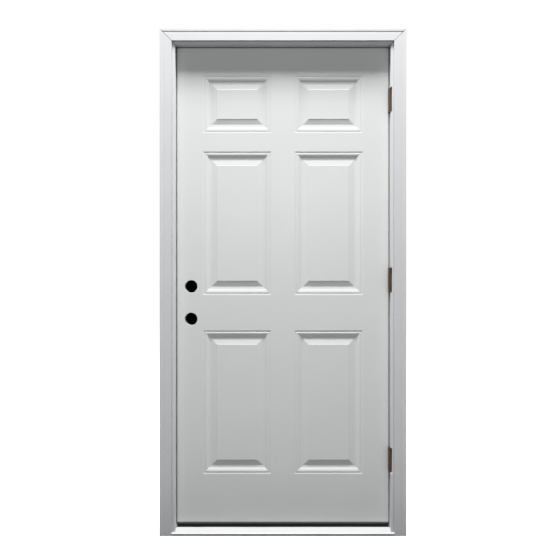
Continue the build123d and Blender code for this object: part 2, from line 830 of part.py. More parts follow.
with BuildPart() as foam_core:
    box(
        (-stile_inner, core_face, slab_bottom + bottom_rail_height),
        (stile_inner, core_inside, slab_top - top_rail_height),
    )
    box(block_low, block_high, Mode.SUBTRACT)
    press_panels(core_face, Mode.SUBTRACT)
    mirrored_core = mirror(foam_core.part, about=slab_mirror, mode=Mode.PRIVATE)
    add(mirrored_core, mode=Mode.INTERSECT)
save(foam_core, "foam_core")
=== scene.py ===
import json
import math
import bmesh
import bpy
from mathutils import Matrix, Vector
from mathutils.geometry import delaunay_2d_cdt


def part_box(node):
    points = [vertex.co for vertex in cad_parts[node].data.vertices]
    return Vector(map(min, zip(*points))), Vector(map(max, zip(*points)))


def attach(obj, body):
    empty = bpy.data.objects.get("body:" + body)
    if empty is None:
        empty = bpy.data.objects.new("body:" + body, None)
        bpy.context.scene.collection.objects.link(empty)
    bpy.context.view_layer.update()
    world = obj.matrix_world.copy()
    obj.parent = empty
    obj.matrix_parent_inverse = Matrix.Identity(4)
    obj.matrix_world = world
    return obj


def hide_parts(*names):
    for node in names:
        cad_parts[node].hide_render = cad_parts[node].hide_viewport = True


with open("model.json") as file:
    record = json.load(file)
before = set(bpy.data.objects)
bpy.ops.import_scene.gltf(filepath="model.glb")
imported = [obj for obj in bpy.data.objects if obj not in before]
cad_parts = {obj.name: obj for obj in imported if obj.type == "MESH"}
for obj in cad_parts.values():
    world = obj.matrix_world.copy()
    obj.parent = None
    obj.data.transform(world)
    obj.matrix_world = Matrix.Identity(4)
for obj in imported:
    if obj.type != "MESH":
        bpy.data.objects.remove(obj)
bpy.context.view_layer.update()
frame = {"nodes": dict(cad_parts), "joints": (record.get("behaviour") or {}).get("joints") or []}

# Panelled entrance door in its frame. Everything is in metres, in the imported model's own frame:
# x to the right seen from outside, y into the building, z up. A table marked "in mm" is turned into
# metres where it is used.
nodes = frame["nodes"]
mm = 0.001
weldReach = 0.02 * mm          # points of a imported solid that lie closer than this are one
easing = {"segments": 2, "sharpAngle": 30, "flatAngle": 0.5, "smoothAngle": 35}    # angles in degrees


# Small helpers

def newMesh(name, points, faces):
    mesh = bpy.data.meshes.new(name)
    mesh.from_pydata([tuple(p) for p in points], [], faces)
    mesh.update()
    piece = bpy.data.objects.new(name, mesh)
    bpy.context.scene.collection.objects.link(piece)
    return piece


def bakeModifiers(piece):
    # turns the modifiers' result into the piece's own mesh
    bpy.context.view_layer.update()
    shape = piece.evaluated_get(bpy.context.evaluated_depsgraph_get())
    mesh = bpy.data.meshes.new_from_object(shape)
    piece.modifiers.clear()
    piece.data = mesh
    return piece


def smoothBut(piece, degrees):
    # smooth shading, creased where faces meet at more than the given angle
    piece.data.shade_smooth()
    piece.data.set_sharp_from_angle(angle=math.radians(degrees))


def cutAway(piece, cutter):
    # takes one closed mesh out of another, then drops the cutter
    cut = piece.modifiers.new("cut", "BOOLEAN")
    cut.object = cutter
    cut.operation = "DIFFERENCE"
    cut.solver = "EXACT"
    bakeModifiers(piece)
    bpy.data.objects.remove(cutter)


def evenShading(piece):
    # broad flat faces keep their own shading beside narrow bends
    weigh = piece.modifiers.new("even", "WEIGHTED_NORMAL")
    weigh.mode = "FACE_AREA"
    weigh.weight = 100
    weigh.keep_sharp = True


def easedCopy(nodeName, newName, width):
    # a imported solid's shape with its arrises taken off
    piece = nodes[nodeName].copy()
    piece.data = nodes[nodeName].data.copy()
    piece.name = newName
    for key in list(piece.keys()):
        del piece[key]
    bpy.context.scene.collection.objects.link(piece)
    work = bmesh.new()
    work.from_mesh(piece.data)
    bmesh.ops.remove_doubles(work, verts=work.verts, dist=weldReach)
    flat = math.radians(easing["flatAngle"])
    bmesh.ops.dissolve_limit(work, angle_limit=flat, verts=work.verts, edges=work.edges)
    work.to_mesh(piece.data)
    work.free()
    ease = piece.modifiers.new("ease", "BEVEL")
    ease.width = width
    ease.segments = easing["segments"]
    ease.limit_method = "ANGLE"
    ease.angle_limit = math.radians(easing["sharpAngle"])
    bakeModifiers(piece)
    smoothBut(piece, easing["smoothAngle"])
    evenShading(piece)
    return piece


def dress(piece, material, body, stands=()):
    piece.data.materials.clear()
    piece.data.materials.append(material)
    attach(piece, body)
    if stands:
        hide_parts(*stands)


def repaint(nodeName, material):
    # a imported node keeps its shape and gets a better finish
    holder = nodes[nodeName]
    holder.data.materials.clear()
    holder.data.materials.append(material)


def fixNormals(piece):
    work = bmesh.new()
    work.from_mesh(piece.data)
    bmesh.ops.recalc_face_normals(work, faces=work.faces)
    work.to_mesh(piece.data)
    work.free()


def arc(centre, radius, start, end, steps):
    # points on an arc, angles in degrees
    turn = [math.radians(start + (end - start) * i / steps) for i in range(steps + 1)]
    return [(centre[0] + radius * math.cos(a), centre[1] + radius * math.sin(a)) for a in turn]


def boxMesh(name, low, high):
    points = [(x, y, z) for x in (low[0], high[0]) for y in (low[1], high[1]) for z in (low[2], high[2])]
    faces = [(0, 1, 3, 2), (4, 6, 7, 5), (0, 4, 5, 1), (2, 3, 7, 6), (0, 2, 6, 4), (1, 5, 7, 3)]
    return newMesh(name, points, faces)


def prism(name, outline, place, ends):
    # closed outline carried along a straight run: place(u, v, t) gives a point, ends give t for (u, v)
    count = len(outline)
    points = [place(u, v, end(u, v)) for end in ends for u, v in outline]
    faces = [tuple(range(count)), tuple(range(2 * count - 1, count - 1, -1))]
    for i in range(count):
        j = (i + 1) % count
        faces.append((i, i + count, j + count, j))
    piece = newMesh(name, points, faces)
    fixNormals(piece)
    return piece


def squareEnds(start, end):
    return lambda u, v: start, lambda u, v: end


def levelRun(name, outline, start, end):
    # closed (y, z) outline carried along x
    return prism(name, outline, lambda u, v, t: (t, u, v), squareEnds(start, end))


rounding = {"steps": 5, "mostOfSide": 0.48, "least": 0.001 * mm, "leastInMm": 0.0001}


def roundedCorner(before, here, after, least):
    # points of a curve that meets both sides of the corner where an arc of its radius would;
    # a corner that would lose less than the least length stays sharp
    corner = Vector(here[:2])
    back = Vector(before[:2]) - corner
    ahead = Vector(after[:2]) - corner
    reach = here[2] * math.tan((math.pi - back.angle(ahead)) / 2)
    reach = min(reach, back.length * rounding["mostOfSide"], ahead.length * rounding["mostOfSide"])
    if reach < least:
        return [tuple(corner)]
    start = corner + back.normalized() * reach
    end = corner + ahead.normalized() * reach
    shares = [i / rounding["steps"] for i in range(rounding["steps"] + 1)]
    return [tuple(start * (1 - t) ** 2 + corner * 2 * t * (1 - t) + end * t ** 2) for t in shares]


def roundedPath(points):
    # open line of (x, y, radius) corners, in mm
    path = [tuple(points[0][:2])]
    for before, here, after in zip(points, points[1:], points[2:]):
        path += roundedCorner(before, here, after, rounding["leastInMm"])
    return path + [tuple(points[-1][:2])]


def roundedOutline(points):
    # closed outline of (x, y, radius) corners, in metres
    closed = points[-1:] + points + points[:1]
    outline = []
    for before, here, after in zip(closed, closed[1:], closed[2:]):
        outline += roundedCorner(before, here, after, rounding["least"])
    return outline


# Finishes. A noise is (scale, detail, roughness, distortion), a bump is (depth in metres, strength)

wideSpan = (0.3, 0.7)          # where most of a noise's values lie
tightSpan = (0.35, 0.65)


def newMaterial(name):
    material = bpy.data.materials.new(name)
    material.use_nodes = True
    tree = material.node_tree
    shader = tree.nodes["Principled BSDF"]
    return material, tree, shader


def addNode(tree, kind, **values):
    node = tree.nodes.new(kind)
    for key, value in values.items():
        if key in node.inputs:
            node.inputs[key].default_value = value
        else:
            setattr(node, key, value)
    return node


def stretchedCoords(tree, stretch=(1, 1, 1)):
    # object coordinates, squeezed along the grain or the drawing direction
    coords = addNode(tree, "ShaderNodeTexCoord")
    mapping = addNode(tree, "ShaderNodeMapping")
    mapping.inputs["Scale"].default_value = stretch
    tree.links.new(coords.outputs["Object"], mapping.inputs["Vector"])
    return mapping.outputs["Vector"]


def noise(tree, vector, scale, detail, roughness=0.5, distortion=0.0):
    node = addNode(tree, "ShaderNodeTexNoise", Scale=scale, Detail=detail, Roughness=roughness)
    node.inputs["Distortion"].default_value = distortion
    tree.links.new(vector, node.inputs["Vector"])
    return node.outputs["Fac"]


def remap(tree, value, low, high, newLow=0.0, newHigh=1.0):
    node = addNode(tree, "ShaderNodeMapRange")
    for key, number in zip(("From Min", "From Max", "To Min", "To Max"), (low, high, newLow, newHigh)):
        node.inputs[key].default_value = number
    tree.links.new(value, node.inputs["Value"])
    return node.outputs["Result"]


def blendColours(tree, amount, first, second):
    # each colour is a fixed one or another node's output
    node = addNode(tree, "ShaderNodeMix", data_type="RGBA")
    tree.links.new(amount, node.inputs[0])
    for socket, colour in ((node.inputs[6], first), (node.inputs[7], second)):
        if hasattr(colour, "is_linked"):
            tree.links.new(colour, socket)
        else:
            socket.default_value = (*colour, 1.0)
    return node.outputs[2]


def addBump(tree, shader, layers):
    # layers of (height, depth, strength), one on another
    normal = None
    for height, depth, strength in layers:
        bump = addNode(tree, "ShaderNodeBump", Strength=strength, Distance=depth)
        tree.links.new(height, bump.inputs["Height"])
        if normal:
            tree.links.new(normal, bump.inputs["Normal"])
        normal = bump.outputs["Normal"]
    tree.links.new(normal, shader.inputs["Normal"])


# painted shade: ambient occlusion darkens the paint's colour in gaps and corners
paintedShade = {
    "reach": 0.03,               # metres
    "samples": 6,
    # painted black shade for the gaps
    "gapShade": (0.018, 0.017, 0.016),
    "deep": (0.12, 0.42),        # share of open sky: painted black shade, no painted shade
    "rim": (0.42, 0.97),         # the same for the duller painted shade
}


def paintedShadeTone(tree, paint, dull):
    # painted shade where surfaces close in: black in the gaps, a shade duller in the corners
    sky = addNode(tree, "ShaderNodeAmbientOcclusion", samples=paintedShade["samples"], Distance=paintedShade["reach"])
    rim = blendColours(tree, remap(tree, sky.outputs["AO"], *paintedShade["rim"]), dull, paint)
    return blendColours(tree, remap(tree, sky.outputs["AO"], *paintedShade["deep"]), paintedShade["gapShade"], rim)


slabFinish = {
    "colours": ((0.80, 0.82, 0.81), (0.785, 0.805, 0.795)),
    # painted shade: the duller colour the paint takes in corners
    "dull": (0.62, 0.63, 0.62),
    "roughness": (0.34, 0.46),
    "blotch": (5.0, 4.0),
    "orangePeel": (900.0, 2.0),
    "orangePeelBump": (0.00006, 0.5),
    "sheetWave": (7.0, 1.0),
    "sheetWaveStretch": (1, 1, 0.6),
    "sheetWaveBump": (0.0009, 0.25),
    "coat": 0.08,
    "coatRoughness": 0.3,
}


def slabPaint():
    # factory-primed steel: faint orange peel over a sheet that is never quite flat
    material, tree, shader = newMaterial("slab_paint")
    even = stretchedCoords(tree)
    blotch = noise(tree, even, *slabFinish["blotch"])
    peel = noise(tree, even, *slabFinish["orangePeel"])
    wave = noise(tree, stretchedCoords(tree, slabFinish["sheetWaveStretch"]), *slabFinish["sheetWave"])
    colour = blendColours(tree, remap(tree, blotch, *tightSpan), *slabFinish["colours"])
    # painted shade: the colour goes black in gaps and duller in corners
    tree.links.new(paintedShadeTone(tree, colour, slabFinish["dull"]), shader.inputs["Base Color"])
    tree.links.new(remap(tree, blotch, *wideSpan, *slabFinish["roughness"]), shader.inputs["Roughness"])
    addBump(tree, shader, [(wave, *slabFinish["sheetWaveBump"]), (peel, *slabFinish["orangePeelBump"])])
    shader.inputs["Coat Weight"].default_value = slabFinish["coat"]
    shader.inputs["Coat Roughness"].default_value = slabFinish["coatRoughness"]
    return material


timberFinish = {
    "colours": ((0.745, 0.76, 0.775), (0.72, 0.735, 0.75)),
    # painted shade: the duller colour the paint takes in corners
    "dull": (0.64, 0.65, 0.66),
    "roughness": (0.40, 0.55),
    "blotch": (6.0, 3.0),
    "grain": (300.0, 4.0, 0.55, 0.3),
    "grainBump": (0.00005, 0.4),
    "brush": (800.0, 2.0),
    "brushBump": (0.00002, 0.4),
    "primedDepth": 2.5,          # under primer alone the relief shows more
}
uprightGrain = (1, 1, 0.012)
levelGrain = (0.012, 1, 1)


def timberPaint(name, grainStretch, depthShare=1.0):
    # painted softwood: the grain tells through along the length, with brush marks over it
    material, tree, shader = newMaterial(name)
    along = stretchedCoords(tree, grainStretch)
    grain = noise(tree, along, *timberFinish["grain"])
    brush = noise(tree, along, *timberFinish["brush"])
    blotch = noise(tree, stretchedCoords(tree), *timberFinish["blotch"])
    colour = blendColours(tree, remap(tree, blotch, *tightSpan), *timberFinish["colours"])
    # painted shade: the colour goes black in gaps and duller in corners
    tree.links.new(paintedShadeTone(tree, colour, timberFinish["dull"]), shader.inputs["Base Color"])
    tree.links.new(remap(tree, grain, *wideSpan, *timberFinish["roughness"]), shader.inputs["Roughness"])
    layers = []
    for height, key in ((grain, "grainBump"), (brush, "brushBump")):
        depth, strength = timberFinish[key]
        layers.append((height, depth * depthShare, strength))
    addBump(tree, shader, layers)
    return material


bareFinish = {
    "colours": ((0.66, 0.47, 0.28), (0.48, 0.30, 0.15)),
    "roughness": (0.55, 0.75),
    "stretch": (1, 1, 0.045),
    "rings": (95.0, 5.0, 0.6, 1.2),
    "ringBump": (0.0002, 0.5),
    "pores": (900.0, 2.0),
    "poreBump": (0.0001, 0.4),
}


def bareTimber():
    # planed pine: growth rings drawn out along the length
    material, tree, shader = newMaterial("bare_timber")
    along = stretchedCoords(tree, bareFinish["stretch"])
    rings = noise(tree, along, *bareFinish["rings"])
    pores = noise(tree, along, *bareFinish["pores"])
    colour = blendColours(tree, remap(tree, rings, *tightSpan), *bareFinish["colours"])
    tree.links.new(colour, shader.inputs["Base Color"])
    tree.links.new(remap(tree, pores, *wideSpan, *bareFinish["roughness"]), shader.inputs["Roughness"])
    addBump(tree, shader, [(rings, *bareFinish["ringBump"]), (pores, *bareFinish["poreBump"])])
    return material


bronzeFinish = {
    "colours": ((0.050, 0.032, 0.024), (0.105, 0.066, 0.047)),
    "rubbed": (0.34, 0.25, 0.19),
    "edge": (0.52, 0.60),        # pointiness: plated, rubbed
    "roughness": (0.28, 0.46),
    "metallic": 0.75,
    "cloud": (120.0, 4.0),
    "speck": (1800.0, 2.0),
    "speckBump": (0.00004, 0.5),
}


def bronzePlate():
    # dark bronze plating, rubbed paler on its edges
    material, tree, shader = newMaterial("bronze")
    even = stretchedCoords(tree)
    cloud = noise(tree, even, *bronzeFinish["cloud"])
    speck = noise(tree, even, *bronzeFinish["speck"])
    shape = addNode(tree, "ShaderNodeNewGeometry")
    edge = remap(tree, shape.outputs["Pointiness"], *bronzeFinish["edge"])
    base = blendColours(tree, remap(tree, cloud, *wideSpan), *bronzeFinish["colours"])
    tree.links.new(blendColours(tree, edge, base, bronzeFinish["rubbed"]), shader.inputs["Base Color"])
    tree.links.new(remap(tree, cloud, *wideSpan, *bronzeFinish["roughness"]), shader.inputs["Roughness"])
    shader.inputs["Metallic"].default_value = bronzeFinish["metallic"]
    addBump(tree, shader, [(speck, *bronzeFinish["speckBump"])])
    return material


sillFinish = {
    "colours": ((0.62, 0.63, 0.64), (0.56, 0.57, 0.58)),
    "roughness": (0.36, 0.5),
    "metallic": 0.35,
    "dieLines": (1400.0, 3.0),
    "dieLinesStretch": (0.006, 1, 1),
    "dieLinesBump": (0.00006, 0.5),
    "cloud": (30.0, 3.0),
    "cloudStretch": (0.3, 1, 1),
}


def millAluminium():
    # extruded aluminium: die lines run along the sill
    material, tree, shader = newMaterial("sill_aluminium")
    lines = noise(tree, stretchedCoords(tree, sillFinish["dieLinesStretch"]), *sillFinish["dieLines"])
    cloud = noise(tree, stretchedCoords(tree, sillFinish["cloudStretch"]), *sillFinish["cloud"])
    colour = blendColours(tree, remap(tree, lines, *wideSpan), *sillFinish["colours"])
    tree.links.new(colour, shader.inputs["Base Color"])
    tree.links.new(remap(tree, cloud, *wideSpan, *sillFinish["roughness"]), shader.inputs["Roughness"])
    shader.inputs["Metallic"].default_value = sillFinish["metallic"]
    addBump(tree, shader, [(lines, *sillFinish["dieLinesBump"])])
    return material


foamFinish = {
    "cellScale": 900.0,
    "cellSpan": (0.0, 0.8),
    "colours": ((0.62, 0.50, 0.27), (0.85, 0.74, 0.46)),
    "roughness": 0.9,
    "bump": (0.0004, 0.7),
}


def cellFoam():
    material, tree, shader = newMaterial("foam")
    cells = addNode(tree, "ShaderNodeTexVoronoi", Scale=foamFinish["cellScale"])
    tree.links.new(stretchedCoords(tree), cells.inputs["Vector"])
    size = cells.outputs["Distance"]
    colour = blendColours(tree, remap(tree, size, *foamFinish["cellSpan"]), *foamFinish["colours"])
    tree.links.new(colour, shader.inputs["Base Color"])
    shader.inputs["Roughness"].default_value = foamFinish["roughness"]
    addBump(tree, shader, [(size, *foamFinish["bump"])])
    return material


compositeLook = {
    "speck": (420.0, 4.0), "span": tightSpan, "colours": ((0.36, 0.34, 0.31), (0.46, 0.43, 0.39)),
    "roughness": (0.6, 0.8), "bump": (0.0003, 0.5),
}
zincLook = {
    "speck": (800.0, 3.0), "span": wideSpan, "colours": ((0.62, 0.62, 0.60), (0.74, 0.73, 0.68)),
    "roughness": (0.25, 0.45), "metallic": 0.95,
}
rubberLook = {
    "detail": 3.0, "gain": 1.25, "lift": 0.003,
    "roughness": (0.55, 0.8), "specular": 0.25, "bump": (0.00012, 0.5),
}


def speckled(name, look):
    # one fine noise sets the colour, the roughness and the relief
    material, tree, shader = newMaterial(name)
    speck = noise(tree, stretchedCoords(tree), *look["speck"])
    colour = blendColours(tree, remap(tree, speck, *look["span"]), *look["colours"])
    tree.links.new(colour, shader.inputs["Base Color"])
    tree.links.new(remap(tree, speck, *wideSpan, *look["roughness"]), shader.inputs["Roughness"])
    for socket, key in (("Metallic", "metallic"), ("Specular IOR Level", "specular")):
        if key in look:
            shader.inputs[socket].default_value = look[key]
    if "bump" in look:
        addBump(tree, shader, [(speck, *look["bump"])])
    return material


def darkRubber(name, colour, scale):
    # vinyl and seal foam: a dull colour that the noise lifts a little
    lifted = tuple(c * rubberLook["gain"] + rubberLook["lift"] for c in colour)
    speck = (scale, rubberLook["detail"])
    return speckled(name, {**rubberLook, "speck": speck, "span": wideSpan, "colours": (colour, lifted)})


finishes = {
    "slab": slabPaint(),
    "uprightTimber": timberPaint("frame_paint_upright", uprightGrain),
    "levelTimber": timberPaint("frame_paint_level", levelGrain),
    "primedUpright": timberPaint("primed_timber", uprightGrain, timberFinish["primedDepth"]),
    "primedLevel": timberPaint("primed_timber_level", levelGrain, timberFinish["primedDepth"]),
    "bareTimber": bareTimber(),
    "bronze": bronzePlate(),
    "sill": millAluminium(),
    "vinyl": darkRubber("black_vinyl", (0.004, 0.004, 0.0042), 500.0),
    # bronze vinyl made paler as painted light: the sweep plate's front catching light
    "litBronzeVinyl": darkRubber("lit_bronze_vinyl", (0.165, 0.148, 0.13), 500.0),
    "sealFoam": darkRubber("seal_foam", (0.020, 0.016, 0.013), 1200.0),
    "foam": cellFoam(),
    "composite": speckled("sill_composite", compositeLook),
    "zinc": speckled("screw_steel", zincLook),
}
print("finishes ready:", len(finishes))


# Pressed steel skins

slabLow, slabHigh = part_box("exterior_skin")
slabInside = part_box("interior_skin")[1].y
slabOutside = slabLow.y
slabMiddle = (slabOutside + slabInside) / 2
lockBlockLow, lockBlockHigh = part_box("lock_block")
leafBoxes = [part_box(f"hinge_{place}_door_leaf") for place in ("top", "middle", "bottom")]

skinShape = {
    "gauge": 0.76 * mm,
    "bend": 1.3 * mm,            # outside radius of the folded edge
    "bendSteps": 6,
    "hem": 12.0 * mm,
    "stileMargin": 110.2 * mm,
    "panelWidth": 294.4 * mm,
    # gap above each row of panels, height of the panels
    "rows": [(117.3 * mm, 246.5 * mm), (78.9 * mm, 616.5 * mm), (151.6 * mm, 616.5 * mm)],
    "cornerRadius": 1.6 * mm,
    "cornerSteps": 4,
    "boreRadius": 26.9875 * mm,
    "boreSteps": 96,
    "backset": 60.325 * mm,
    "boreSpacing": 139.7 * mm,
    "leafNotch": 2.5 * mm,
    "notchSlack": 0.15 * mm,
    "leafCorner": 15.875 * mm,
    "leafCornerSteps": 6,
    "weld": 0.01 * mm,
    "smoothAngle": 35,
}

# section of the moulding round a panel, in mm: distance in from the panel's outline, depth below the sheet,
# radius of the bend
mouldingShape = {
    "quirkAndBead": [(0.0, 0.0, 0.0), (0.6, 0.1, 0.4), (8.0, 1.3, 0.3), (8.8, 0.4, 0.3)],
    "coveStart": (12.5, 0.4),
    "coveEnd": (26.0, 5.2),
    "coveSlope": 0.1,
    "coveBend": 0.3,
    "coveSteps": 8,
    "valley": [(35.0, 6.3, 1.2), (37.0, 6.3, 1.2)],
    "bevelAndField": [(59.0, 2.5, 0.5), (61.0, 1.3, 0.5), (62.5, 1.3, 0.0)],
    "pressedShare": 0.62,        # depth against the solid's, as the photograph's soft shading asks
}


def coveCurve():
    # arc that leaves the bead at the given slope and ends at the cove's foot
    start = Vector(mouldingShape["coveStart"])
    end = Vector(mouldingShape["coveEnd"])
    normal = Vector((-mouldingShape["coveSlope"], 1)).normalized()
    chord = end - start
    radius = chord.length_squared / (2 * normal.dot(chord))
    centre = start + normal * radius
    first, last = (math.degrees(math.atan2(p.y - centre.y, p.x - centre.x)) for p in (start, end))
    return arc(centre, radius, first, last, mouldingShape["coveSteps"])


def mouldingPath():
    # from the sheet in to the panel's raised field, as (distance in, depth) in mm
    level = mouldingShape["coveStart"][1]
    share = mouldingShape["pressedShare"]
    inner = [(x, depth, mouldingShape["coveBend"]) for x, depth in coveCurve()]
    inner += mouldingShape["valley"] + mouldingShape["bevelAndField"]
    pressed = [(x, level + (depth - level) * share, bend) for x, depth, bend in inner]
    return roundedPath(mouldingShape["quirkAndBead"] + pressed)


def panelFrames():
    # each panel's centre and half sizes in the plane of the slab
    halfWidth = skinShape["panelWidth"] / 2
    centreX = slabHigh.x - skinShape["stileMargin"] - halfWidth
    top = slabHigh.z
    frames = []
    for gap, height in skinShape["rows"]:
        top -= gap
        frames += [(x, top - height / 2, halfWidth, height / 2) for x in (-centreX, centreX)]
        top -= height
    return frames


def roundedLoop(x, z, halfWidth, halfHeight, radius, steps):
    loop = []
    for sideX, sideZ, start in ((1, 1, 0), (-1, 1, 90), (-1, -1, 180), (1, -1, 270)):
        centre = (x + sideX * (halfWidth - radius), z + sideZ * (halfHeight - radius))
        loop += arc(centre, radius, start, start + 90, steps)
    return loop


def panelLoop(x, z, halfWidth, halfHeight, inward=0.0):
    # a panel's outline, or a line of its moulding that lies inward of it
    return roundedLoop(
        x, z, halfWidth - inward, halfHeight - inward, skinShape["cornerRadius"], skinShape["cornerSteps"],
    )


def boreCentres():
    x = slabLow.x + skinShape["backset"]
    middle = (lockBlockLow.z + lockBlockHigh.z) / 2
    return [(x, middle + side * skinShape["boreSpacing"] / 2) for side in (-1, 1)]


def boreLoop(centre, radius, steps):
    # full circle, without the point that closes it
    return arc(centre, radius, 0, 360, steps)[:-1]


def leafNotches():
    # foot, head and depth at the back of each door leaf's notch, from the lowest leaf up
    slack = skinShape["notchSlack"]
    boxes = sorted(leafBoxes, key=lambda box: box[0].z)
    return [(low.z - slack, high.z + slack, slabInside - high.y - slack) for low, high in boxes]


def insideLoop(point, loop):
    # even-odd test
    hit = False
    for (ax, az), (bx, bz) in zip(loop, loop[1:] + loop[:1]):
        if (az > point[1]) != (bz > point[1]) and point[0] < (bx - ax) * (point[1] - az) / (bz - az) + ax:
            hit = not hit
    return hit


def fillFlat(outline, holes):
    # triangles of a flat outline with holes in it
    nearest = 0.0001 * mm
    coords = []
    edges = []
    for loop in [outline] + holes:
        first = len(coords)
        coords += [Vector(p) for p in loop]
        edges += [(first + i, first + (i + 1) % len(loop)) for i in range(len(loop))]
    result = delaunay_2d_cdt(coords, edges, [], 0, nearest)
    kept = []
    for face in result[2]:
        middle = sum((result[0][i] for i in face), Vector((0, 0))) / len(face)
        if insideLoop(middle, outline) and not any(insideLoop(middle, hole) for hole in holes):
            kept.append(tuple(face))
    return [tuple(p) for p in result[0]], kept


def sheetOutline(outsideSkin):
    # the flat between the bends; the outside skin is notched round the hinge leaves
    left = slabLow.x + skinShape["bend"]
    right = slabHigh.x - skinShape["bend"]
    notch = slabHigh.x - skinShape["leafNotch"]
    outline = [(left, slabLow.z), (right, slabLow.z)]
    if outsideSkin:
        for foot, head, back in leafNotches():
            outline += [(right, foot), (notch, foot), (notch, head), (right, head)]
    return outline + [(right, slabHigh.z), (left, slabHigh.z)]


def layFlat(place, faces, outsideSkin):
    # the sheet's flat, open where panels are pressed and bores are cut
    holes = [panelLoop(*panel) for panel in panelFrames()]
    holes += [boreLoop(centre, skinShape["boreRadius"], skinShape["boreSteps"]) for centre in boreCentres()]
    flatPoints, flatFaces = fillFlat(sheetOutline(outsideSkin), holes)
    ids = [place(x, z, 0.0) for x, z in flatPoints]
    faces += [tuple(ids[i] for i in face) for face in flatFaces]


def pressPanels(place, faces):
    # rings of the moulding, one inside another, then the raised field
    path = mouldingPath()
    for panel in panelFrames():
        rings = []
        for inward, depth in path:
            rings.append([place(x, z, depth * mm) for x, z in panelLoop(*panel, inward * mm)])
        count = len(rings[0])
        for outer, inner in zip(rings, rings[1:]):
            for i in range(count):
                j = (i + 1) % count
                faces.append((outer[i], outer[j], inner[j], inner[i]))
        faces.append(tuple(rings[-1]))


def hemEdge(notched):
    # the hem's free edge as (depth, height) points, from the foot up
    hem = skinShape["hem"]
    radius = skinShape["leafCorner"]
    steps = skinShape["leafCornerSteps"]
    points = [(hem, slabLow.z)]
    for foot, head, back in leafNotches() if notched else []:
        # the leaf's recess ends in round corners, and the hem crosses them
        centreDepth = back + radius
        start = math.degrees(math.acos((centreDepth - hem) / radius))
        points += arc((centreDepth, foot + radius), radius, 180 + start, 180, steps)
        points += arc((centreDepth, head - radius), radius, 180, 180 - start, steps)
    return points + [(hem, slabHigh.z)]


def foldEdge(place, faces, side, outsideSkin):
    # a quarter turn along one edge, then the hem's flat; the outside skin's leaf notches break both
    bend = skinShape["bend"]
    hem = skinShape["hem"]
    hinged = side > 0
    edgeX = slabHigh.x * side
    cuts = [slabLow.z, slabHigh.z]
    if hinged and outsideSkin:
        cuts[1:1] = [height for foot, head, back in leafNotches() for height in (foot, head)]
    spans = list(zip(cuts[0::2], cuts[1::2]))
    for foot, head in spans:
        rows = []
        for u, v in arc((0, 0), bend, 90, 0, skinShape["bendSteps"]):
            x = edgeX - side * (bend - u)
            rows.append((place(x, foot, bend - v), place(x, head, bend - v)))
        faces += [(a, b, d, c) for (a, b), (c, d) in zip(rows, rows[1:])]
    if len(spans) > 1:
        for foot, head in spans:
            corners = [(bend, foot), (bend, head), (hem, head), (hem, foot)]
            faces.append(tuple(place(edgeX, z, depth) for depth, z in corners))
        return
    flatPoints, flatFaces = fillFlat([(bend, slabHigh.z), (bend, slabLow.z)] + hemEdge(hinged), [])
    ids = [place(edgeX, z, depth) for depth, z in flatPoints]
    faces += [tuple(ids[i] for i in face) for face in flatFaces]


def weldAndFace(piece, outward):
    # joins the strips at their shared points and turns every face outwards
    work = bmesh.new()
    work.from_mesh(piece.data)
    bmesh.ops.remove_doubles(work, verts=work.verts, dist=skinShape["weld"])
    bmesh.ops.recalc_face_normals(work, faces=work.faces)
    big = max(work.faces, key=lambda face: face.calc_area())
    if big.normal.dot(outward) < 0:
        bmesh.ops.reverse_faces(work, faces=work.faces)
    work.to_mesh(piece.data)
    work.free()


def skinSheet(name, outsideSkin):
    # flat sheet, pressed panels and folded hems as one surface, then given its gauge
    points = []
    faces = []

    def place(x, z, depth):
        points.append((x, slabOutside + depth if outsideSkin else slabInside - depth, z))
        return len(points) - 1

    layFlat(place, faces, outsideSkin)
    pressPanels(place, faces)
    for side in (-1, 1):
        foldEdge(place, faces, side, outsideSkin)
    piece = newMesh(name, points, faces)
    weldAndFace(piece, Vector((0, -1 if outsideSkin else 1, 0)))
    gauge = piece.modifiers.new("gauge", "SOLIDIFY")
    gauge.thickness = skinShape["gauge"]
    gauge.offset = -1
    gauge.use_even_offset = False
    bakeModifiers(piece)
    return piece


faceplate = {
    "halfWidth": 12.7 * mm, "halfHeight": 28.575 * mm, "corner": 6.35 * mm, "cornerSteps": 8,
    "depth": 3.2 * mm, "overrun": 4.0 * mm,
}


def drillEdge(piece):
    # the latch bores' faceplate recesses take a bite out of the lock side's hems
    for x, z in boreCentres():
        loop = roundedLoop(
            slabMiddle, z, faceplate["halfWidth"], faceplate["halfHeight"], faceplate["corner"],
            faceplate["cornerSteps"],
        )
        cutter = levelRun("recess", loop, slabLow.x - faceplate["overrun"], slabLow.x + faceplate["depth"])
        cutAway(piece, cutter)


for skinName, outsideSkin in (("pressed_skin_outside", True), ("pressed_skin_inside", False)):
    skin = skinSheet(skinName, outsideSkin)
    drillEdge(skin)
    smoothBut(skin, skinShape["smoothAngle"])
    evenShading(skin)
    dress(skin, finishes["slab"], "door", ["exterior_skin" if outsideSkin else "interior_skin"])
print("skins pressed")


# Brickmould casing

jambFace = -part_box("brickmould_strike_side")[1].x
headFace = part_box("brickmould_head")[0].z
casingShape = {
    # in mm
    "filletWidth": 13.4, "filletThickness": 25.2, "filletRadius": 0.8,
    "quirkWidth": 1.8, "quirkDepth": 1.4, "quirkRadius": 0.3,
    "quirkFloor": 0.7,           # share of the quirk's width that lies flat
    "mouldWidth": 50.8, "mouldThickness": 31.75, "edgeRadius": 1.5,
    "faceThickness": 31.2, "faceFall": 0.1, "faceRadius": 0.8, "noseRadius": 0.9,
    "grooveWidth": 11.0, "grooveDepth": 0.5, "grooveRadius": 0.15,
    "bandWidth": 11.0, "bandSlope": 0.6, "bandRadius": 0.7,
    "reliefWidth": 30.0, "reliefDepth": 1.6,
    "mitreGap": 1.3,
    "smoothAngle": 24,           # degrees
}
hingeSeat = {"radius": 7.0 * mm, "overrun": 2.3 * mm, "front": -40.0 * mm, "steps": 24}


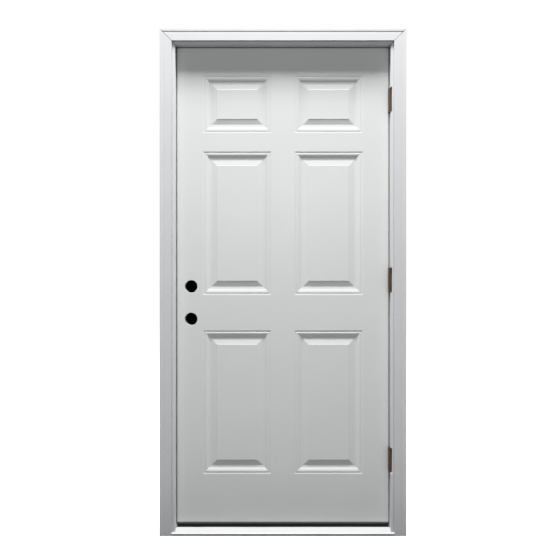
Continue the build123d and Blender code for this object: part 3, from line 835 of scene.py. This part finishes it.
def casingSection():
    # (distance from the opening, distance in front of the wall), with a shallow relief at the back
    s = casingShape
    inner = s["filletWidth"]
    outer = inner + s["mouldWidth"]
    bandStart = outer - s["bandWidth"]
    grooveEnd = bandStart - s["bandSlope"]
    faceLevel = s["faceThickness"] - s["faceFall"]
    quirkLevel = s["filletThickness"] - s["quirkDepth"]
    section = roundedPath([
        (0, 0, 0),
        (0, s["filletThickness"], s["filletRadius"]),
        (inner - s["quirkWidth"], s["filletThickness"], s["quirkRadius"]),
        (inner - s["quirkWidth"] * s["quirkFloor"], quirkLevel, s["quirkRadius"]),
        (inner, quirkLevel, s["quirkRadius"]),
        (inner, s["faceThickness"], s["noseRadius"]),
        (grooveEnd - s["grooveWidth"], faceLevel, s["faceRadius"]),
        (grooveEnd, faceLevel - s["grooveDepth"], s["grooveRadius"]),
        (bandStart, s["mouldThickness"], s["bandRadius"]),
        (outer, s["mouldThickness"], s["edgeRadius"]),
        (outer, 0, 0),
    ])
    left, right = (inner + (s["mouldWidth"] + side * s["reliefWidth"]) / 2 for side in (-1, 1))
    section += [(right, 0), (right, s["reliefDepth"]), (left, s["reliefDepth"]), (left, 0)]
    return [(u * mm, v * mm) for u, v in section]


def casingLeg(name, side):
    gap = casingShape["mitreGap"] * mm
    return prism(
        name, casingSection(),
        lambda u, v, t: (side * (jambFace + u), -v, t),
        (lambda u, v: 0.0, lambda u, v: headFace + u - gap),
    )


def casingHead(name):
    gap = casingShape["mitreGap"] * mm
    return prism(
        name, casingSection(),
        lambda u, v, t: (t, -v, headFace + u),
        (lambda u, v: -(jambFace + u - gap), lambda u, v: jambFace + u - gap),
    )


def hingeReliefs(leg):
    # round-bottomed clearance for each hinge's knuckles, open to the front
    pinX, pinY = frame["joints"][0]["pos_m"][:2]
    radius = hingeSeat["radius"]
    bottom = arc((pinX, pinY), radius, 0, 180, hingeSeat["steps"])
    loop = [(pinX + radius, hingeSeat["front"])] + bottom + [(pinX - radius, hingeSeat["front"])]
    for low, high in leafBoxes:
        ends = squareEnds(low.z - hingeSeat["overrun"], high.z + hingeSeat["overrun"])
        cutAway(leg, prism("relief", loop, lambda u, v, t: (u, v, t), ends))


strikeLeg = casingLeg("casing_strike_side", -1)
hingeLeg = casingLeg("casing_hinge_side", 1)
hingeReliefs(hingeLeg)
headPiece = casingHead("casing_head")
for piece, finish, node in (
    (strikeLeg, "uprightTimber", "brickmould_strike_side"),
    (hingeLeg, "uprightTimber", "brickmould_hinge_side"),
    (headPiece, "levelTimber", "brickmould_head"),
):
    smoothBut(piece, casingShape["smoothAngle"])
    evenShading(piece)
    dress(piece, finishes[finish], "frame", [node])
print("casing run")


# Jambs, sill and hinges: the solids' shapes with eased arrises

timberEase = 0.8 * mm
metalEase = 0.35 * mm
easedPieces = {
    # node: (new piece, ease, finish, body, slot)
    "hinge_jamb": ("jamb_hinge_side", timberEase, "uprightTimber", "frame", "frame_paint"),
    "strike_jamb": ("jamb_strike_side", timberEase, "uprightTimber", "frame", "frame_paint"),
    "head_jamb": ("jamb_head", timberEase, "levelTimber", "frame", "frame_paint"),
    "sill_deck": ("sill_extrusion", metalEase, "sill", "frame", "sill_aluminium"),
}
for place in ("top", "middle", "bottom"):
    easedPieces[f"hinge_{place}_frame_leaf"] = (f"butt_{place}_frame", metalEase, "bronze", "frame", "bronze")
    easedPieces[f"hinge_{place}_door_leaf"] = (f"butt_{place}_door", metalEase, "bronze", "door", "bronze")
for nodeName, (newName, ease, finish, body, slot) in easedPieces.items():
    piece = easedCopy(nodeName, newName, ease)
    dress(piece, finishes[finish], body, [nodeName])
print("arrises eased:", len(easedPieces))


# Sweep under the slab: plate with a skirt at the front, and fins that stop short of the sill's tread

sweepShape = {
    "plate": 3.2 * mm, "topRadius": 0.2 * mm, "backRadius": 0.4 * mm,
    "skirt": 9.0 * mm, "skirtWall": 2.0 * mm, "skirtRadius": 0.6 * mm, "insideRadius": 0.5 * mm,
    "fins": 3, "spacing": 16.0 * mm, "firstFin": 0.6 * mm, "root": 0.2 * mm,
    "finTop": 2.2 * mm, "finTip": 1.1 * mm, "tipRadius": 0.4 * mm,
    "waistWidth": 0.8, "waistHeight": 0.6,       # shares of the fin's own
    "waistRadius": 3.0 * mm,
    "clearance": 0.6 * mm, "smoothAngle": 30,
}
sillTread = {"frontY": -31.75 * mm, "frontZ": 12.0 * mm, "rise": 0.2}


def sweepPlate(low, high, wall, plateFoot):
    s = sweepShape
    skirtFoot = high.z - s["skirt"]
    plate = levelRun("sweep_plate", roundedOutline([
        (low.y, skirtFoot, s["skirtRadius"]),
        (wall, skirtFoot, s["skirtRadius"]),
        (wall, plateFoot, s["insideRadius"]),
        (high.y, plateFoot, s["backRadius"]),
        (high.y, high.z, s["topRadius"]),
        (low.y, high.z, s["topRadius"]),
    ]), low.x, high.x)
    smoothBut(plate, s["smoothAngle"])
    evenShading(plate)
    # painted light: the plate is paler than the fins of the same sweep, for the light its front edge catches
    dress(plate, finishes["litBronzeVinyl"], "door", ["door_sweep"])


def sweepFin(number, low, high, wall, plateFoot):
    s = sweepShape
    y = wall + s["firstFin"] + number * s["spacing"]
    tip = sillTread["frontZ"] + sillTread["rise"] * (y - sillTread["frontY"]) + s["clearance"]
    root = plateFoot + s["root"]
    fin = levelRun(f"sweep_fin_{number}", roundedOutline([
        (y, root, 0),
        (y, tip, s["tipRadius"]),
        (y + s["finTip"], tip, s["tipRadius"]),
        (y + s["finTop"] * s["waistWidth"], tip + (plateFoot - tip) * s["waistHeight"], s["waistRadius"]),
        (y + s["finTop"], root, 0),
    ]), low.x, high.x)
    smoothBut(fin, s["smoothAngle"])
    dress(fin, finishes["vinyl"], "door")


def buildSweep():
    low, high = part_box("door_sweep")
    wall = low.y + sweepShape["skirtWall"]
    plateFoot = high.z - sweepShape["plate"]
    sweepPlate(low, high, wall, plateFoot)
    for number in range(sweepShape["fins"]):
        sweepFin(number, low, high, wall, plateFoot)


buildSweep()


# Weatherstrip: foam-filled bulbs in the kerfs, and the bulb on the sill's bumper

stripShape = {
    "padRound": 4.0 * mm, "shoulder": 1.0 * mm, "stop": 57.15 * mm, "headGap": 0.4 * mm,
    "bumperWall": 52.25 * mm, "bulbRound": 3.4 * mm, "bulbFoot": 0.5 * mm, "smoothAngle": 40,
}


def padOutline(along, front, width):
    # cross-section of a pad: rounded towards the slab, square on the stop
    back = stripShape["stop"]
    bulge = stripShape["padRound"]
    shoulder = stripShape["shoulder"]
    end = along + width
    return roundedOutline([
        (along, back, shoulder), (along, front, bulge), (end, front, bulge), (end, back, shoulder),
    ])


def laySeal(name, outline, place, ends, node):
    strip = prism(name, outline, place, ends)
    smoothBut(strip, stripShape["smoothAngle"])
    dress(strip, finishes["sealFoam"], "frame", [node])


def sillBulb():
    low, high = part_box("sill_bumper_seal")
    wall = stripShape["bumperWall"]
    foot = stripShape["bulbFoot"]
    bulge = stripShape["bulbRound"]
    outline = [(wall, low.z, foot), (low.y, low.z, bulge), (low.y, high.z, bulge), (wall, high.z, foot)]
    bulb = levelRun("seal_sill", roundedOutline(outline), low.x, high.x)
    smoothBut(bulb, stripShape["smoothAngle"])
    dress(bulb, finishes["vinyl"], "frame", ["sill_bumper_seal"])


def buildStrips():
    headLow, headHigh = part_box("weatherstrip_head")
    for side in ("hinge", "strike"):
        low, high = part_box(f"weatherstrip_{side}_side")
        laySeal(
            f"seal_{side}_side", padOutline(low.x, low.y, high.x - low.x), lambda u, v, t: (u, v, t),
            squareEnds(low.z, headLow.z - stripShape["headGap"]), f"weatherstrip_{side}_side",
        )
    laySeal(
        "seal_head", padOutline(headLow.z, headLow.y, headHigh.z - headLow.z), lambda u, v, t: (t, v, u),
        squareEnds(headLow.x, headHigh.x), "weatherstrip_head",
    )
    sillBulb()


buildStrips()
print("sweep and seals laid")


# Screws with cross-recessed flat heads

screwSets = {
    # node: (new piece, body, finish, slot, head radius, shank radius, length) in mm
    "frame_leaf_screws": ("butt_screws_frame", "frame", "bronze", "bronze", 4.2, 2.0, 16.5),
    "door_leaf_screws": ("butt_screws_door", "door", "bronze", "bronze", 4.2, 2.0, 16.5),
    "head_corner_screws": ("jamb_screws_head", "frame", "zinc", "screw_steel", 4.4, 2.2, 50.0),
    "sill_screws": ("jamb_screws_sill", "frame", "zinc", "screw_steel", 4.4, 2.2, 50.0),
}
screwShape = {
    "turns": 28,
    "rim": 0.25,                 # mm
    "tipShare": 0.8,             # of the shank's radius
    "arm": 0.52, "slot": 0.13, "deep": 0.42,       # cross recess, as shares of the head's radius
    "cutStart": -1.0 * mm,
    "endSlack": 0.2 * mm,        # points this close to an end belong to it
    "turnStep": 1.1,             # radians from one screw's recess to the next
    "smoothAngle": 30,
}


def screwBlank(name, head, shank, length):
    # turned screw along +x, its head's face on the plane x = 0, with a cross recess
    rim = screwShape["rim"]
    profile = [
        (0.0, 0.0), (0.0, head - rim), (rim, head), (head - shank, shank),
        (length - shank, shank * screwShape["tipShare"]), (length, 0.0),
    ]
    turns = screwShape["turns"]
    points = []
    for along, radius in profile:
        for k in range(turns if radius else 1):
            angle = 2 * math.pi * k / turns
            points.append((along * mm, radius * math.cos(angle) * mm, radius * math.sin(angle) * mm))

    def ring(n, k):
        return 1 + n * turns + k % turns

    faces = []
    lastRing = len(profile) - 3
    for k in range(turns):
        faces.append((0, ring(0, k), ring(0, k + 1)))
        for n in range(lastRing):
            faces.append((ring(n, k), ring(n + 1, k), ring(n + 1, k + 1), ring(n, k + 1)))
        faces.append((ring(lastRing, k), len(points) - 1, ring(lastRing, k + 1)))
    blank = newMesh(name, points, faces)
    fixNormals(blank)
    arm, slot, deep = (head * screwShape[key] * mm for key in ("arm", "slot", "deep"))
    for first, second in ((arm, slot), (slot, arm)):
        cross = boxMesh("cross", (screwShape["cutStart"], -first, -second), (deep, first, second))
        fixNormals(cross)
        cutAway(blank, cross)
    return blank


def looseParts(mesh):
    # the points of each part of a mesh that hangs together
    work = bmesh.new()
    work.from_mesh(mesh)
    bmesh.ops.remove_doubles(work, verts=work.verts, dist=weldReach)
    parts = []
    seen = set()
    for start in work.verts:
        if start.index in seen:
            continue
        seen.add(start.index)
        stack = [start]
        part = []
        while stack:
            vert = stack.pop()
            part.append(vert.co.copy())
            for edge in vert.link_edges:
                other = edge.other_vert(vert)
                if other.index not in seen:
                    seen.add(other.index)
                    stack.append(other)
        parts.append(part)
    work.free()
    return parts


def screwPlaces(nodeName):
    # each screw's head centre, and whether it points along +x: the head is the wider end
    places = []
    for part in looseParts(nodes[nodeName].data):
        low = Vector([min(p[i] for p in part) for i in range(3)])
        high = Vector([max(p[i] for p in part) for i in range(3)])
        middle = (low + high) / 2
        reach = []
        for end in (low.x, high.x):
            reach.append(max(abs(p.z - middle.z) for p in part if abs(p.x - end) < screwShape["endSlack"]))
        forward = reach[0] > reach[1]
        places.append((Vector((low.x if forward else high.x, middle.y, middle.z)), forward))
    return places


def buildScrews():
    for number, (nodeName, plan) in enumerate(screwSets.items()):
        newName, body, finish, slot, head, shank, length = plan
        screws = screwBlank(newName, head, shank, length)
        work = bmesh.new()
        for index, (centre, forward) in enumerate(screwPlaces(nodeName)):
            twist = Matrix.Rotation(index * screwShape["turnStep"] + number, 4, "X")
            facing = Matrix.Rotation(0.0 if forward else math.pi, 4, "Z")
            copy = screws.data.copy()
            copy.transform(Matrix.Translation(centre) @ facing @ twist)
            work.from_mesh(copy)
            bpy.data.meshes.remove(copy)
        merged = bpy.data.meshes.new(newName)
        work.to_mesh(merged)
        work.free()
        screws.data = merged
        smoothBut(screws, screwShape["smoothAngle"])
        dress(screws, finishes[finish], body, [nodeName])


buildScrews()
print("screws driven")


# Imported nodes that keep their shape

keptFinishes = {
    "hinge_stile": "primedUpright", "lock_stile": "primedUpright", "lock_block": "bareTimber",
    "top_rail": "primedLevel", "bottom_rail": "primedLevel", "foam_core": "foam",
    "sill_base": "composite", "sweep_screws": "zinc",
    "hinge_top_pin": "bronze", "hinge_middle_pin": "bronze", "hinge_bottom_pin": "bronze",
}
for nodeName, finish in keptFinishes.items():
    repaint(nodeName, finishes[finish])
print("packed nodes dressed:", len(keptFinishes))


# Stage: floor, lights and camera

stagePlan = {
    "floorReach": 40.0,
    "floorWhite": (0.93, 0.93, 0.93),
    "floorRoughness": 0.9,
    "backdrop": 1.8,
    "ambient": 0.06,
    "cameraAt": (-0.0124, -1.902, 1.0816),
    "lens": 28.5,
    "sensor": 36.0,
    "discSlack": 0.2 * mm,
    "discSteps": 64,
}
lamps = {
    "keyNear": {"at": (0.0, -0.45, 5.1), "aim": (0.0, -0.45, 0.0), "size": (1.4, 0.24), "power": 316.0},
    "keyOuter": {"at": (0.0, -0.71, 5.1), "aim": (0.0, -0.71, 0.0), "size": (1.4, 0.38), "power": 277.0},
    "front": {"at": (0.0, -3.5, 2.2), "aim": (0.0, 0.0, 1.2), "size": (2.0, 1.0), "power": 22.0},
    "bounce": {"at": (0.0, -1.7, 0.02), "aim": (0.0, -1.7, 3.0), "size": (3.0, 2.6), "power": 7.5},
    "backKey": {"at": (0.4, 0.95, 5.1), "aim": (0.0, 0.5, 0.0), "size": (2.0, 0.6), "power": 480.0},
    "backBounce": {"at": (0.0, 1.8, 0.02), "aim": (0.0, 1.8, 3.0), "size": (3.0, 2.6), "power": 9.0},
    "backFill": {"at": (-2.6, 3.0, 2.4), "aim": (0.0, 0.0, 1.1), "size": (1.6, 1.6), "power": 40.0},
    "sideFill": {"at": (3.2, 1.6, 2.0), "aim": (0.0, 0.1, 1.1), "size": (1.2, 2.0), "power": 16.0},
}
toneCurve = {
    # scene brightness: brightness shown
    "points": [(0.0, 0.0), (0.5, 0.5), (0.7, 0.675), (0.9, 0.80), (1.1, 0.885), (1.4, 0.95), (1.8, 1.0)],
    "white": 1.8,
}


def layFloor():
    reach = stagePlan["floorReach"]
    corners = [(-reach, -reach, 0), (reach, -reach, 0), (reach, reach, 0), (-reach, reach, 0)]
    floor = newMesh("floor", corners, [(0, 1, 2, 3)])
    material, tree, shader = newMaterial("floor")
    shader.inputs["Base Color"].default_value = (*stagePlan["floorWhite"], 1)
    shader.inputs["Roughness"].default_value = stagePlan["floorRoughness"]
    shader.inputs["Emission Color"].default_value = (1, 1, 1, 1)
    shader.inputs["Emission Strength"].default_value = stagePlan["backdrop"]
    floor.data.materials.append(material)
    floor.visible_diffuse = False      # the bounce lamp stands for its light
    floor.visible_glossy = False


def paintedBoreShade():
    # painted shade: a black disc inside each open bore stands for the shade deep in it
    material, tree, shader = newMaterial("painted_bore_shade")
    shader.inputs["Base Color"].default_value = (0, 0, 0, 1)
    shader.inputs["Roughness"].default_value = 1.0
    shader.inputs["Specular IOR Level"].default_value = 0.0
    radius = skinShape["boreRadius"] - stagePlan["discSlack"]
    for number, centre in enumerate(boreCentres()):
        points = [(x, slabMiddle, z) for x, z in boreLoop(centre, radius, stagePlan["discSteps"])]
        disc = newMesh(f"painted_bore_shade_{number}", points, [tuple(range(len(points)))])
        disc.data.materials.append(material)
        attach(disc, "door")


def setWorld():
    # the backdrop is white to the camera, and a faint fill to everything else
    world = bpy.data.worlds.new("studio")
    bpy.context.scene.world = world
    world.use_nodes = True
    tree = world.node_tree
    tree.nodes.clear()
    output = addNode(tree, "ShaderNodeOutputWorld")
    seen = addNode(tree, "ShaderNodeBackground", Color=(1, 1, 1, 1), Strength=stagePlan["backdrop"])
    fill = addNode(tree, "ShaderNodeBackground", Color=(1, 1, 1, 1), Strength=stagePlan["ambient"])
    paths = addNode(tree, "ShaderNodeLightPath")
    choose = addNode(tree, "ShaderNodeMixShader")
    tree.links.new(paths.outputs["Is Camera Ray"], choose.inputs[0])
    tree.links.new(fill.outputs[0], choose.inputs[1])
    tree.links.new(seen.outputs[0], choose.inputs[2])
    tree.links.new(choose.outputs[0], output.inputs["Surface"])


def hangLights():
    for name, plan in lamps.items():
        lamp = bpy.data.lights.new(name, "AREA")
        lamp.shape = "ELLIPSE"
        lamp.size, lamp.size_y = plan["size"]
        lamp.energy = plan["power"]
        holder = bpy.data.objects.new(name, lamp)
        holder.location = plan["at"]
        aim = Vector(plan["aim"]) - Vector(plan["at"])
        holder.rotation_euler = aim.to_track_quat("-Z", "Y").to_euler()
        holder.visible_camera = False
        bpy.context.scene.collection.objects.link(holder)


def setCamera():
    data = bpy.data.cameras.new("camera")
    data.sensor_width = stagePlan["sensor"]
    data.lens = stagePlan["lens"]
    camera = bpy.data.objects.new("camera", data)
    camera.location = stagePlan["cameraAt"]
    camera.rotation_euler = (math.radians(90), 0, 0)      # level, looking along +y
    bpy.context.scene.collection.objects.link(camera)
    bpy.context.scene.camera = camera


def setTone():
    # highlights roll off gently, as they do in a photograph
    view = bpy.context.scene.view_settings
    view.view_transform = "Standard"
    view.use_curve_mapping = True
    mapping = view.curve_mapping
    mapping.white_level = (toneCurve["white"],) * 3
    curve = mapping.curves[3]
    points = [(x / toneCurve["white"], y) for x, y in toneCurve["points"]]
    curve.points[0].location = points[0]
    curve.points[1].location = points[-1]
    for point in points[1:-1]:
        curve.points.new(*point)
    mapping.update()


layFloor()
paintedBoreShade()
setWorld()
hangLights()
setCamera()
setTone()
print("stage set")
